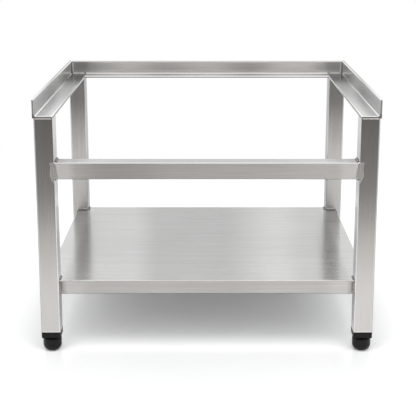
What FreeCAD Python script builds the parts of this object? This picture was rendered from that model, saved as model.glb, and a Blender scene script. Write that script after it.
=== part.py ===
import FreeCAD, Part
import math
import os

# Kitchen equipment stand: a welded stainless stand that carries a counter-top appliance.
# Millimetres, +Z up, +X to the right and +Y to the rear. The origin is on the floor, under
# the middle of the stand, with the four feet wound fully in.

# Overall size
stand_width = 700.0  # over the outer faces of the legs
stand_depth = 600.0  # over the front and rear faces of the legs
seat_height = 510.0  # floor to the top of the support flanges

# Legs, square tube
leg_side = 40.0
leg_wall = 1.5
leg_corner_radius = 3.0

# Top rails, angle section with a rounded heel, root and toes
angle_thickness = 5.0
angle_overhang = 2.0  # how far the angles stand out past the legs
upstand_height = 34.0  # above the support flanges
angle_heel_radius = 1.0
angle_root_radius = 4.0
angle_toe_radius = 4.0
rail_end_radius = 2.5  # round the inner edge of the open front ends

# Front rail, rectangular tube between the front legs and as deep as they are
front_rail_height = 35.0
front_rail_wall = 1.5
front_rail_corner_radius = 2.5
front_rail_drop = 97.0  # from the support flanges down to the top of the rail

# Shelf, one folded sheet with a skirt on each side, notched round the legs
shelf_height = 157.0  # floor to the top of the shelf
shelf_inset = 11.0  # from the outer faces of the legs to the skirts
shelf_sheet = 1.5
shelf_bend_radius = 1.0  # inside the folds
skirt_height = 30.0
skirt_return = 12.0  # inward fold at the foot of each skirt
shelf_leg_clearance = 0.6  # between the notches and the legs

# Stiffener, a hat section welded under the shelf
stiffener_crown = 40.0
stiffener_height = 22.0
stiffener_flange = 15.0
stiffener_sheet = 1.5
stiffener_end_gap = 3.0  # from its ends to the skirt returns

# Weld beads, measured along the faces that they join
corner_bead = 4.0  # inside the two rear corners of the top frame
leg_top_bead = 2.4  # down the legs, under the top rails
front_rail_bead = 3.5
shelf_bead = 3.5
bead_fullness = 0.58  # 0.5 is a flat bead, more is a crowned one

# Tube inserts, pressed into the lower ends of the legs
insert_cap_height = 14.0
insert_cap_chamfer = 1.5
insert_spigot_height = 30.0
insert_rib_height = 1.4
insert_rib_width = 2.0
insert_rib_spacing = 10.0
insert_rib_lead = 6.0  # sloped lead at the top of each rib

# Levelling spindles and the nuts that they turn in
spindle_diameter = 12.0
spindle_clearance = 0.3  # all round, in the inserts, the nuts and the feet
spindle_end_chamfer = 1.5
spindle_spare = 2.0  # thread above the nut when the foot is wound right out
collar_ledge = 5.0  # from the thread out to the flats of the collar
collar_space = 3.0  # between the foot and the insert
collar_clearance = 0.3  # above and below the collar
nut_wall = 3.5  # from the thread out to the flats of the nut
nut_height = 10.0
nut_pocket_clearance = 0.1
foot_travel = 15.0

# Feet, round with a domed underside
foot_diameter = 39.0
foot_height = 28.0
foot_dome_radius = 13.0
foot_rim_radius = 1.5
foot_socket_depth = 16.0

# Places worked out from those sizes
half_width = stand_width / 2
half_depth = stand_depth / 2
leg_inner_x = half_width - leg_side
leg_inner_y = half_depth - leg_side
angle_outer_x = half_width + angle_overhang
angle_outer_y = half_depth + angle_overhang
upstand_inner_x = angle_outer_x - angle_thickness
upstand_inner_y = angle_outer_y - angle_thickness
flange_width = leg_side + angle_overhang
heel_radius = min(angle_heel_radius, angle_overhang / 2)
toe_radius = min(angle_toe_radius, 0.8 * angle_thickness)
end_radius = min(rail_end_radius, 0.5 * angle_thickness)
leg_top = seat_height - angle_thickness
upstand_top = seat_height + upstand_height
insert_bottom = foot_height + collar_space
leg_bottom = insert_bottom + insert_cap_height
spigot_top = leg_bottom + insert_spigot_height
spindle_bore = spindle_diameter + 2 * spindle_clearance
front_rail_top = seat_height - front_rail_drop
front_rail_bottom = front_rail_top - front_rail_height
shelf_half_x = half_width - shelf_inset
shelf_half_y = half_depth - shelf_inset
shelf_bottom = shelf_height - skirt_height
notch_x = leg_inner_x - shelf_leg_clearance
notch_y = leg_inner_y - shelf_leg_clearance

corners = {
    "front_left": (-1, -1),
    "front_right": (1, -1),
    "rear_left": (-1, 1),
    "rear_right": (1, 1),
}

up = FreeCAD.Vector(0, 0, 1)
down = FreeCAD.Vector(0, 0, -1)


def rounded_wire(outline, place):
    """Closed wire through (u, w, radius) corners. A radius above zero is a tangent arc.
    place turns the flat point (u, w) into a point of the stand."""
    points = [FreeCAD.Vector(u, w, 0) for u, w, radius in outline]
    runs = []
    for index, (u, w, radius) in enumerate(outline):
        corner = points[index]
        back = (points[index - 1] - corner).normalize()
        ahead = (points[(index + 1) % len(points)] - corner).normalize()
        if radius <= 0:
            runs.append((corner, None, corner))
            continue
        half_angle = back.getAngle(ahead) / 2
        reach = radius / math.tan(half_angle)
        sagitta = radius / math.sin(half_angle) - radius
        middle = corner + (back + ahead).normalize() * sagitta
        runs.append((corner + back * reach, middle, corner + ahead * reach))
    edges = []
    for index, (start, middle, end) in enumerate(runs):
        if middle is not None:
            arc = Part.Arc(place(start.x, start.y), place(middle.x, middle.y), place(end.x, end.y))
            edges.append(arc.toShape())
        following = runs[(index + 1) % len(runs)][0]
        if (following - end).Length > 1e-6:
            line = Part.LineSegment(place(end.x, end.y), place(following.x, following.y))
            edges.append(line.toShape())
    return Part.Wire(edges)


def prism(outline, place, direction):
    """Solid with a rounded outline as its section, drawn out along a direction."""
    return Part.Face(rounded_wire(outline, place)).extrude(direction)


def upright(outline, centre, bottom, height):
    """Vertical prism on a centre line."""
    def place(u, w):
        return FreeCAD.Vector(centre.x + u, centre.y + w, bottom)
    return prism(outline, place, up * height)


def rectangle(width, depth, radius):
    """Outline of a rectangle about its centre, with rounded corners."""
    u = width / 2
    w = depth / 2
    return [(-u, -w, radius), (u, -w, radius), (u, w, radius), (-u, w, radius)]


def hexagon(across_flats):
    """Outline of a hexagon about its centre."""
    reach = across_flats / math.sqrt(3)
    angles = [math.radians(60 * step) for step in range(6)]
    return [(reach * math.cos(angle), reach * math.sin(angle), 0) for angle in angles]


def block(low, high):
    """Box between two opposite corners, given in any order."""
    least = [min(pair) for pair in zip(low, high)]
    size = [abs(a - b) for a, b in zip(low, high)]
    return Part.makeBox(*size, FreeCAD.Vector(*least))


def bore(centre, diameter, bottom, top):
    """Round hole or rod on a vertical centre line."""
    return Part.makeCylinder(diameter / 2, top - bottom, FreeCAD.Vector(centre.x, centre.y, bottom))


def bead(start, end, face_a, face_b, reach_a, reach_b):
    """Crowned weld bead that runs along the corner of two faces, from start to end.
    face_a and face_b point from the corner along each face."""
    toe_a = start + face_a * reach_a
    toe_b = start + face_b * reach_b
    crown = start + (face_a * reach_a + face_b * reach_b) * bead_fullness
    edges = [
        Part.LineSegment(start, toe_a).toShape(),
        Part.Arc(toe_a, crown, toe_b).toShape(),
        Part.LineSegment(toe_b, start).toShape(),
    ]
    return Part.Face(Part.Wire(edges)).extrude(end - start)


def inner_radius(outer_radius, wall):
    """Radius inside a bent wall, never quite sharp."""
    return max(outer_radius - wall, wall / 10)


def leg_centre(corner):
    """Centre line of a leg, at floor level."""
    side, end = corners[corner]
    return FreeCAD.Vector(side * (half_width - leg_side / 2), end * (half_depth - leg_side / 2), 0)


def make_leg(corner):
    """Square tube from the top of its insert to the underside of the top rails."""
    centre = leg_centre(corner)
    length = leg_top - leg_bottom
    tube_bore = leg_side - 2 * leg_wall
    bore_radius = inner_radius(leg_corner_radius, leg_wall)
    outside = upright(rectangle(leg_side, leg_side, leg_corner_radius), centre, leg_bottom, length)
    inside = upright(rectangle(tube_bore, tube_bore, bore_radius), centre, leg_bottom, length)
    return outside.cut(inside)


def angle_outline():
    """Section of the top rails: u runs inwards from the upstand, w up from the flange's underside."""
    height = upstand_height + angle_thickness
    return [
        (0, 0, heel_radius),
        (flange_width, 0, 0),
        (flange_width, angle_thickness, toe_radius),
        (angle_thickness, angle_thickness, angle_root_radius),
        (angle_thickness, height, toe_radius),
        (0, height, 0),
    ]


def make_side_rail(side):
    """Angle along one side. Its flange stops at the rear upstand, its own upstand runs past it."""
    def place(u, w):
        return FreeCAD.Vector(side * (angle_outer_x - u), -angle_outer_y, leg_top + w)
    rail = prism(angle_outline(), place, FreeCAD.Vector(0, 2 * angle_outer_y, 0))
    cope = block(
        (side * upstand_inner_x, upstand_inner_y, leg_top),
        (side * leg_inner_x, angle_outer_y, upstand_top),
    )
    return rounded_front_end(rail.cut(cope))


def rounded_front_end(rail):
    """Side rail with the edge of its front end rounded, down the upstand, round the root and across
    the flange. The rounding follows the toes out to the heel side."""
    front_y = -angle_outer_y
    inner_edges = []
    for edge in rail.Edges:
        box = edge.BoundBox
        at_front = max(abs(box.YMin - front_y), abs(box.YMax - front_y)) < 1e-6
        on_inside = box.ZMin > seat_height - 1e-6 and max(abs(box.XMin), abs(box.XMax)) < upstand_inner_x + 1e-6
        if at_front and on_inside:
            inner_edges.append(edge)
    return rail.makeFillet(end_radius, inner_edges)


def make_rear_rail():
    """Angle between the side upstands, with its flange cut back to the side flanges."""
    def place(u, w):
        return FreeCAD.Vector(-upstand_inner_x, angle_outer_y - u, leg_top + w)
    rail = prism(angle_outline(), place, FreeCAD.Vector(2 * upstand_inner_x, 0, 0))
    for side in (-1, 1):
        cope = block(
            (side * upstand_inner_x, upstand_inner_y, leg_top),
            (side * leg_inner_x, angle_outer_y - flange_width, upstand_top),
        )
        rail = rail.cut(cope)
    return rail


def make_front_rail():
    """Rectangular tube between the front legs, flush with their front and rear faces."""
    centre_y = -half_depth + leg_side / 2
    centre_z = (front_rail_top + front_rail_bottom) / 2
    along = FreeCAD.Vector(2 * leg_inner_x, 0, 0)

    def place(u, w):
        return FreeCAD.Vector(-leg_inner_x, centre_y + u, centre_z + w)
    bore_depth = leg_side - 2 * front_rail_wall
    bore_height = front_rail_height - 2 * front_rail_wall
    bore_radius = inner_radius(front_rail_corner_radius, front_rail_wall)
    outside = prism(rectangle(leg_side, front_rail_height, front_rail_corner_radius), place, along)
    inside = prism(rectangle(bore_depth, bore_height, bore_radius), place, along)
    return outside.cut(inside)


def make_skirt(place, direction):
    """One folded edge of the shelf: u runs inwards from the skirt, w up from the shelf's top."""
    fold = shelf_bend_radius + shelf_sheet
    outline = [
        (fold, 0, 0),
        (0, 0, fold),
        (0, -skirt_height, fold),
        (skirt_return, -skirt_height, 0),
        (skirt_return, -skirt_height + shelf_sheet, 0),
        (shelf_sheet, -skirt_height + shelf_sheet, shelf_bend_radius),
        (shelf_sheet, -shelf_sheet, shelf_bend_radius),
        (fold, -shelf_sheet, 0),
    ]
    return prism(outline, place, direction)


def make_shelf():
    """Flat sheet notched round the four legs, with a skirt between each pair of legs."""
    fold = shelf_bend_radius + shelf_sheet
    edge_x = shelf_half_x - fold
    edge_y = shelf_half_y - fold
    quarter = [(notch_x, edge_y, 0), (notch_x, notch_y, 0), (edge_x, notch_y, 0)]
    outline = []
    for side_x, side_y in ((1, 1), (1, -1), (-1, -1), (-1, 1)):
        turn = quarter if side_x == side_y else quarter[::-1]
        outline += [(side_x * u, side_y * w, 0) for u, w, radius in turn]
    shelf = upright(outline, FreeCAD.Vector(), shelf_height - shelf_sheet, shelf_sheet)
    for sign in (-1, 1):
        def cross_place(u, w):
            return FreeCAD.Vector(-notch_x, sign * (shelf_half_y - u), shelf_height + w)

        def side_place(u, w):
            return FreeCAD.Vector(sign * (shelf_half_x - u), -notch_y, shelf_height + w)
        shelf = shelf.fuse(make_skirt(cross_place, FreeCAD.Vector(2 * notch_x, 0, 0)))
        shelf = shelf.fuse(make_skirt(side_place, FreeCAD.Vector(0, 2 * notch_y, 0)))
    return shelf.removeSplitter()


def make_stiffener():
    """Hat section across the middle of the shelf, with its two flanges against the sheet."""
    fold = shelf_bend_radius + stiffener_sheet
    half = stiffener_crown / 2
    wall = stiffener_sheet
    right_side = [
        (half - wall, -stiffener_height + wall, shelf_bend_radius),
        (half - wall, 0, fold),
        (half + stiffener_flange, 0, 0),
        (half + stiffener_flange, -wall, 0),
        (half, -wall, shelf_bend_radius),
        (half, -stiffener_height, fold),
    ]
    left_side = [(-u, w, radius) for u, w, radius in reversed(right_side)]
    half_length = shelf_half_x - skirt_return - stiffener_end_gap

    def place(u, w):
        return FreeCAD.Vector(-half_length, u, shelf_height - shelf_sheet + w)
    return prism(right_side + left_side, place, FreeCAD.Vector(2 * half_length, 0, 0))


def make_insert(corner):
    """Cap of the tube's outline, with a ribbed spigot inside the tube and a pocket for the nut."""
    centre = leg_centre(corner)
    tube_bore = leg_side - 2 * leg_wall
    core_side = tube_bore - 2 * insert_rib_height
    cap_outline = rectangle(leg_side, leg_side, leg_corner_radius)
    cap = upright(cap_outline, centre, insert_bottom, insert_cap_height)
    lower_edges = [edge for edge in cap.Edges if edge.BoundBox.ZMax < insert_bottom + insert_cap_chamfer]
    insert = cap.makeChamfer(insert_cap_chamfer, lower_edges)
    core_outline = rectangle(core_side, core_side, leg_corner_radius)
    insert = insert.fuse(upright(core_outline, centre, leg_bottom, insert_spigot_height))
    half_bore = tube_bore / 2
    half_core = core_side / 2
    shoulder = insert_spigot_height - insert_rib_lead
    rib_outline = [
        (-half_bore, 0, 0),
        (half_bore, 0, 0),
        (half_bore, shoulder, 0),
        (half_core, insert_spigot_height, 0),
        (-half_core, insert_spigot_height, 0),
        (-half_bore, shoulder, 0),
    ]
    for step in (-1, 0, 1):
        start = step * insert_rib_spacing - insert_rib_width / 2

        def along_x(u, w):
            return centre + FreeCAD.Vector(u, start, leg_bottom + w)

        def along_y(u, w):
            return centre + FreeCAD.Vector(start, u, leg_bottom + w)
        insert = insert.fuse(prism(rib_outline, along_x, FreeCAD.Vector(0, insert_rib_width, 0)))
        insert = insert.fuse(prism(rib_outline, along_y, FreeCAD.Vector(insert_rib_width, 0, 0)))
    nut_flats = spindle_diameter + 2 * nut_wall
    pocket_outline = hexagon(nut_flats + 2 * nut_pocket_clearance)
    insert = insert.cut(bore(centre, spindle_bore, insert_bottom, spigot_top))
    insert = insert.cut(upright(pocket_outline, centre, spigot_top - nut_height, nut_height))
    return insert.removeSplitter()


def make_nut(corner):
    """Hexagon nut seated in the top of the insert."""
    centre = leg_centre(corner)
    nut_outline = hexagon(spindle_diameter + 2 * nut_wall)
    nut = upright(nut_outline, centre, spigot_top - nut_height, nut_height)
    return nut.cut(bore(centre, spindle_bore, spigot_top - nut_height, spigot_top))


def make_spindle(corner):
    """Levelling screw: a rod through the nut, a hexagon collar under the insert and a pin in the foot."""
    centre = leg_centre(corner)
    pin_bottom = foot_height - foot_socket_depth + spindle_clearance
    rod_top = spigot_top + foot_travel + spindle_spare
    rod = bore(centre, spindle_diameter, pin_bottom, rod_top)
    round_edges = [edge for edge in rod.Edges if isinstance(edge.Curve, Part.Circle)]
    rod = rod.makeChamfer(spindle_end_chamfer, round_edges)
    collar_outline = hexagon(spindle_diameter + 2 * collar_ledge)
    collar_height = collar_space - 2 * collar_clearance
    collar = upright(collar_outline, centre, foot_height + collar_clearance, collar_height)
    return rod.fuse(collar).removeSplitter()


def make_foot(corner):
    """Round foot with straight sides and a domed underside, bored for the spindle's pin."""
    centre = leg_centre(corner)
    radius = foot_diameter / 2
    outline = [
        (0, 0, 0),
        (radius, 0, foot_dome_radius),
        (radius, foot_height, foot_rim_radius),
        (0, foot_height, 0),
    ]

    def place(u, w):
        return centre + FreeCAD.Vector(u, 0, w)
    foot = Part.Face(rounded_wire(outline, place)).revolve(centre, up, 360)
    return foot.cut(bore(centre, spindle_bore, foot_height - foot_socket_depth, foot_height))


def make_corner_welds(rails):
    """Beads inside the rear corners of the top frame, along the upstands and along the flanges."""
    beads = []
    for side in (-1, 1):
        inwards = FreeCAD.Vector(-side, 0, 0)
        forwards = FreeCAD.Vector(0, -1, 0)
        corner = FreeCAD.Vector(side * upstand_inner_x, upstand_inner_y, seat_height)
        upper_end = corner + up * (upstand_height - toe_radius)
        flange_end = FreeCAD.Vector(side * (leg_inner_x + toe_radius), upstand_inner_y, seat_height)
        standing = bead(corner, upper_end, inwards, forwards, corner_bead, corner_bead)
        lying = bead(corner, flange_end, forwards, up, corner_bead, corner_bead)
        beads.append(standing.fuse(lying).removeSplitter().cut(rails))
    return Part.makeCompound(beads)


def make_leg_top_welds():
    """Beads under the top rails, on the faces of each leg that the rails stand out past.
    Under a rounded heel a bead stops where the rounding starts."""
    beads = []
    flat = leg_side / 2 - leg_corner_radius
    under_heel = angle_overhang - heel_radius
    for corner, (side, end) in corners.items():
        centre = leg_centre(corner) + up * leg_top
        outwards = FreeCAD.Vector(side, 0, 0)
        endwards = FreeCAD.Vector(0, end, 0)
        end_reach = angle_overhang if end < 0 else under_heel
        for face, along, reach in ((outwards, endwards, under_heel), (endwards, outwards, end_reach)):
            middle = centre + face * (leg_side / 2)
            start = middle - along * flat
            finish = middle + along * flat
            beads.append(bead(start, finish, face, down, reach, leg_top_bead))
    return Part.makeCompound(beads)


def make_front_rail_welds():
    """Beads above and below each end of the front rail, and seams dressed flush with its front
    and rear, which fill the hollow beside the rounded corners of the legs."""
    beads = []
    edge = max(front_rail_corner_radius, leg_corner_radius)
    near = -half_depth + edge
    far = -leg_inner_y - edge
    for side, corner in ((-1, "front_left"), (1, "front_right")):
        inwards = FreeCAD.Vector(-side, 0, 0)
        for level, face in ((front_rail_top, up), (front_rail_bottom, down)):
            start = FreeCAD.Vector(side * leg_inner_x, near, level)
            finish = FreeCAD.Vector(side * leg_inner_x, far, level)
            beads.append(bead(start, finish, inwards, face, front_rail_bead, front_rail_bead))
        lower = front_rail_bottom + front_rail_corner_radius
        upper = front_rail_top - front_rail_corner_radius
        leg_outline = rectangle(leg_side, leg_side, leg_corner_radius)
        leg = upright(leg_outline, leg_centre(corner), lower, upper - lower)
        for face_y, inward_y in ((-half_depth, 1), (-leg_inner_y, -1)):
            hollow = block(
                (side * leg_inner_x, face_y, lower),
                (side * (leg_inner_x + leg_corner_radius), face_y + inward_y * leg_corner_radius, upper),
            )
            beads.append(hollow.cut(leg))
    return Part.makeCompound(beads)


def make_shelf_welds():
    """Beads up the ends of the skirts, where they meet the legs."""
    beads = []
    fold = shelf_bend_radius + shelf_sheet
    reach = shelf_bead + shelf_leg_clearance
    for side, end in corners.values():
        outwards = FreeCAD.Vector(side, 0, 0)
        endwards = FreeCAD.Vector(0, end, 0)
        at_cross_skirt = FreeCAD.Vector(side * leg_inner_x, end * shelf_half_y, 0)
        at_side_skirt = FreeCAD.Vector(side * shelf_half_x, end * leg_inner_y, 0)
        joints = ((at_cross_skirt, outwards * -1, endwards), (at_side_skirt, endwards * -1, outwards))
        for place, along_skirt, along_leg in joints:
            start = place + up * (shelf_bottom + fold)
            finish = place + up * (shelf_height - fold)
            beads.append(bead(start, finish, along_skirt, along_leg, reach, shelf_bead))
    return Part.makeCompound(beads)


def make_parts():
    """Every piece of the stand, by name."""
    parts = {
        "left_top_rail": make_side_rail(-1),
        "right_top_rail": make_side_rail(1),
        "rear_top_rail": make_rear_rail(),
        "front_rail": make_front_rail(),
        "shelf": make_shelf(),
        "shelf_stiffener": make_stiffener(),
    }
    rails = [parts["left_top_rail"], parts["right_top_rail"], parts["rear_top_rail"]]
    parts["top_corner_welds"] = make_corner_welds(rails)
    parts["leg_top_welds"] = make_leg_top_welds()
    parts["front_rail_welds"] = make_front_rail_welds()
    parts["shelf_welds"] = make_shelf_welds()
    for corner in corners:
        parts[corner + "_leg"] = make_leg(corner)
        parts[corner + "_insert"] = make_insert(corner)
        parts[corner + "_nut"] = make_nut(corner)
        parts[corner + "_spindle"] = make_spindle(corner)
        parts[corner + "_foot"] = make_foot(corner)
    return parts


os.makedirs("parts", exist_ok=True)
for name, shape in make_parts().items():
    shape.exportStep("parts/" + name + ".step")
    print(name, len(shape.Solids), round(shape.Volume), shape.isValid())
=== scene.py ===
import math

import bpy
import numpy as np
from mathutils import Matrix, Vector


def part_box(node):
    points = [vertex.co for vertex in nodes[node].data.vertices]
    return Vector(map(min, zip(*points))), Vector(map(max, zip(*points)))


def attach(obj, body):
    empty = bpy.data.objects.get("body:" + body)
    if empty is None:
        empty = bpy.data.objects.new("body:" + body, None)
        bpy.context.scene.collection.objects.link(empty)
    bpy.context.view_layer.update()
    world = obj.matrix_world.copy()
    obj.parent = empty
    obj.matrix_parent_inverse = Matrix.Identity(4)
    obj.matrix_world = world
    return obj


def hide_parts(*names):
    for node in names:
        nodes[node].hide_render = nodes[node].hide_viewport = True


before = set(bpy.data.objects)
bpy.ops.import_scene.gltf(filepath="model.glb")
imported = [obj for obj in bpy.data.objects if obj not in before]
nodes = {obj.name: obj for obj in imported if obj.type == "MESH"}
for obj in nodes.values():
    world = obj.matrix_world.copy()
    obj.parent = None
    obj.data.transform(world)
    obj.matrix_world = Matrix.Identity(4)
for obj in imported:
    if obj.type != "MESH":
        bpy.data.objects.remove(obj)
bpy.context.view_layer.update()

# A kitchen equipment stand in brushed stainless steel, dressed in place over its frame. Metres.
mm = 0.001
corners = ("front_left", "front_right", "rear_left", "rear_right")
sides = (-1, 1)
leg_places = [(side, end) for side in sides for end in (-1, 1)]
right, rear, up = np.eye(3)
front, down = -rear, -up

# Faces of the frame that the welds and the ground seams sit on
leg_low, leg_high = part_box("front_right_leg")
rail_low, rail_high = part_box("front_rail")
shelf_low, shelf_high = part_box("shelf")
rear_rail_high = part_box("rear_top_rail")[1]
leg_side = leg_high.x - leg_low.x
leg_inner_x = leg_low.x
leg_front_y = leg_low.y
leg_inner_y = leg_high.y
leg_bottom = leg_low.z
leg_top = leg_high.z
leg_corner_radius = 3 * mm
angle_thickness = 5 * mm
angle_overhang = 2 * mm
toe_radius = 4 * mm
seat_height = leg_top + angle_thickness
upstand_inner_x = rear_rail_high.x
upstand_inner_y = rear_rail_high.y - angle_thickness
upstand_top = rear_rail_high.z
rail_corner_radius = 2.5 * mm
shelf_fold = 2.5 * mm
shelf_clearance = 0.6 * mm

# How far the weld beads reach on the faces that they join
corner_bead = 4 * mm
standing_bead = 4.8 * mm
leg_top_bead = 2 * mm
under_heel = 1 * mm  # the little room that the rounded heels of the angles leave
rail_bead_above = 4.8 * mm
rail_bead_below = 3.5 * mm
rail_bead_sink = 0.5 * mm  # into what the beads of the front rail join
droplet_length = 5 * mm
droplet_radius = 2.8 * mm
droplet_inset = 1.4 * mm
skirt_bead = 5 * mm
skirt_bead_out = 2.5 * mm
front_notch_bead = 2.8 * mm
rear_notch_bead = 4 * mm

# Form of the beads
bead_crown = 1.57  # exponent of the section: 1 is a quarter ellipse, 2 is flat
droplet_crown = 1.0
bead_pitch = 1.7 * mm  # from one ripple to the next
coarse_pitch = 7 * mm  # the same on the uneven beads above the front rail
bead_ripple = 0.13  # depth of the ripples, as a share of the bead
coarse_ripple = 0.35
dressed_ripple = 0.04
bead_lag = 0.45  # how far the middle of a ripple trails its ends, in ripples
bead_end = 0.8  # length of the drawn-in ends, in reaches
bead_tip = 0.001  # share of the section that is left at the very end
bead_rows_per_ripple = 7
bead_least_rows = 60
bead_columns = 13

# Heat tints of the beads, with painted shade at their toes and ends: on their first face, on their second
# face, and the least between them
corner_heat_and_shade = (1.0, 0.0, 0.0)
flange_heat_and_shade = (0.4, 0.0, 0.0)
leg_top_heat_and_shade = (0.6, 0.0, 0.0)
upper_rail_heat_and_shade = (1.0, 1.0, 0.9)
lower_rail_heat_and_shade = (0.95, 0.9, 0.75)
skirt_heat_and_shade = (1.0, 0.2, 0.7)
notch_heat_and_shade = (1.0, 1.0, 0.9)
crested_notch_heat_and_shade = (1.5, 0.0, 0.15)  # before the rear legs, where the crest stays bright
heat_mean = 0.6  # how the least heat comes and goes from ripple to ripple
heat_swing = 0.4
polished = -1.0  # heat of a polished bead, whose colour paints a highlight

# Seams ground flush beside the ends of the front rail
seam_on_leg = 10 * mm
seam_start = 2.6 * mm  # from the edge of the leg, where the ground patches on leg and rail meet
seam_on_rail_low = 6.5 * mm
seam_on_rail_high = 2 * mm
seam_below_rail = 8 * mm
seam_widening = 0.45  # share of the height over which the patch on the leg widens
seam_point = 0.02  # how far into that share it begins
seam_fullness = 0.7  # exponent of the widening
seam_wave = 0.5 * mm
seam_wave_turn = 11  # radians over the height
seam_rise = 0.2 * mm
seam_sink = 0.4 * mm
seam_rows = 25
seam_columns = 61
hollow_columns = 9

# Levelling spindles
spindle_diameter = 12 * mm
spindle_chamfer = 1.5 * mm
collar_flats = 22 * mm
collar_low = 28.3 * mm  # above the soles
collar_height = 2.4 * mm
collar_bevel = 0.35 * mm
collar_end_scale = 0.93
thread_pitch = 1.75 * mm
thread_depth = 0.92 * mm
thread_slope = 1.3  # how much steeper than a plain triangle wave the groove is
thread_crest = 0.15  # taken off the groove, as a share of its depth, which leaves flat crests
thread_rows_per_turn = 10
thread_columns = 48

# Stainless steel, in the hollows and on the crests of its streaks
steel_dark = (0.60, 0.60, 0.597)
steel_light = (0.69, 0.69, 0.687)
fine_along = 9.0  # streaks per metre, along the grain and across it
fine_across = 850.0
broad_along = 5.0
broad_across = 330.0
sheet_broad_across = 150.0  # the same on the shelf's sheet
streak_span = (0.72, 1.28)  # of the two kinds of streaks together
noise_span = (0.3, 0.7)  # where most of a noise lies
line_depth = 0.4 * mm
grain_skew = (0.011, 0.013, 0.02)  # keeps the axis of the grain off the normals of the faces
cloud_scale = 5.0  # spots per metre of a slight unevenness
cloud_rough = (-0.015, 0.02)
streak_rough = 0.015

# Parts of the normal, by which edges and faces are told apart
edge_span = (0.93, 0.995)  # its largest part, from a rounded edge to a flat face
looks_down = (-0.4, -0.1)
looks_up = (0.2, 0.5)
looks_outwards = (0.35, 0.6)
underside_span = (-0.7, -0.15)
upright_span = (0.8, 0.4)  # from a lying face to an upright one
facing_span = (0.4, 0.9)
end_span = (0.75, 0.95)
fold_turn = 0.7

# Finish of edges, with painted highlights and shade on them, ground ends, and broad bands of painted
# highlight and shade
edge_roughness = 0.16
# painted highlights on rounded edges that look sideways and up, and painted shade on those that look down
edge_highlight = 1.2
upper_edge_highlight = 1.25
lower_edge_shade = 0.3
outer_edge_shade = 0.55  # painted shade on upright edges, away from the middle
ground_roughness = 0.6
ground_tone = 0.75
ground_blend = 4 * mm
ground_start = seat_height + 3 * mm  # the ends of the side rails are ground above this
# broad bands of painted highlight and shade along the rear rail
painted_band_width = 0.215
painted_band_depth = 0.27
reflection_fan = 0.38  # how much the fanned painted reflections on the shelf spread to the rear, per metre

# Weld metal, black plastic and zinc plating: colours, spots per metre, roughness and relief
weld_dull = (0.58, 0.572, 0.56)
weld_bright = (0.74, 0.735, 0.725)
# near white weld metal, which paints a highlight on polished beads
weld_polished_highlight = (0.97, 0.97, 0.965)
# the heat tint also paints the shade at the toes and ends of the beads
heat_tint_and_painted_shade = (0.035, 0.029, 0.024)
plastic_dark = (0.002, 0.002, 0.002)
plastic_scuffed = (0.007, 0.007, 0.007)
zinc_blue = (0.52, 0.54, 0.57)
zinc_straw = (0.63, 0.61, 0.56)
weld_skin_scale = 420.0
weld_patch_scale = 60.0
weld_rough = (0.22, 0.34)
weld_relief = 0.12
plastic_skin_scale = 1400.0
plastic_scuff_scale = 90.0
plastic_scuff_span = (0.35, 0.75)
plastic_rough = (0.28, 0.4)
plastic_gloss = 0.25
plastic_relief = 0.18
zinc_ring_scale = (40.0, 40.0, 2600.0)
zinc_cast_scale = 130.0
zinc_rough = (0.22, 0.36)
skin_depth = 0.3 * mm

# Painted light and shade: on which faces a piece is painted darker or brighter, which way along them, from
# which place with which tone, and to which place with which tone
# a painted highlight along the lower edge of the legs
leg_lower_edge_highlight = ("front", "upwards", leg_bottom + 2.5 * mm, 1.0, leg_bottom + 0.5 * mm, 1.3)
front_leg_painted_light = [
    leg_lower_edge_highlight,
    ("front", "upwards", 0.3, 1.0, 0.36, 0.9),  # painted shade in the upper half
    ("front", "upwards", 0.31, 1.0, 0.26, 1.07),  # painted reflection, brighter from the middle down
    ("front", "upwards", 0.2, 1.0, 0.1, 0.89),  # painted shade at the lower end
    ("inner", "upwards", 0.1, 1.65, 0.19, 1.0),  # painted reflection, brighter at the lower end
    ("inner", "upwards", 0.24, 1.0, 0.29, 1.32),  # painted reflection, brighter from the middle up
    ("inner", "upwards", 0.32, 1.0, 0.36, 0.67),  # painted shade from the front rail up
    ("inner", "upwards", 0.44, 1.0, 0.48, 1.15),  # painted highlight at the upper end
]
rear_leg_painted_light = [
    leg_lower_edge_highlight,
    ("front", "upwards", 0.37, 1.24, 0.47, 0.8),  # painted shade at the upper end
    ("front", "upwards", 0.17, 0.72, 0.34, 1.0),  # painted shade towards the shelf
    ("inner", "upwards", 0.2, 0.65, 0.4, 0.65),  # painted shade, the same all the way up
]
front_rail_painted_light = [
    ("front", "outwards", 0.262, 1.1, 0.3, 1.5),  # painted highlight beside the legs
    ("front", "to the right", -0.17, 0.9, -0.05, 1.07),  # painted shade left of the middle
    ("front", "to the right", -0.3, 1.3, -0.2, 1.0),  # painted highlight at the left end
    ("front", "to the right", 0.05, 1.0, 0.25, 1.12),  # painted highlight to the right
    ("up", "outwards", 0.15, 1.0, 0.24, 1.1),  # painted highlight on the top, towards its ends
]
side_rail_painted_light = [
    ("up", "to the rear", -0.32, 1.18, 0.04, 0.44),  # painted shade on the flange, towards the corner
    ("inner", "to the rear", -0.1, 0.5, 0.2, 1.9),  # painted shade on the upstand, going over into a painted highlight towards the corner
    ("side", "upwards", seat_height - 1 * mm, 1.0, seat_height - 3.5 * mm, 0.45),  # painted shade along the edge of the flange
]
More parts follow.
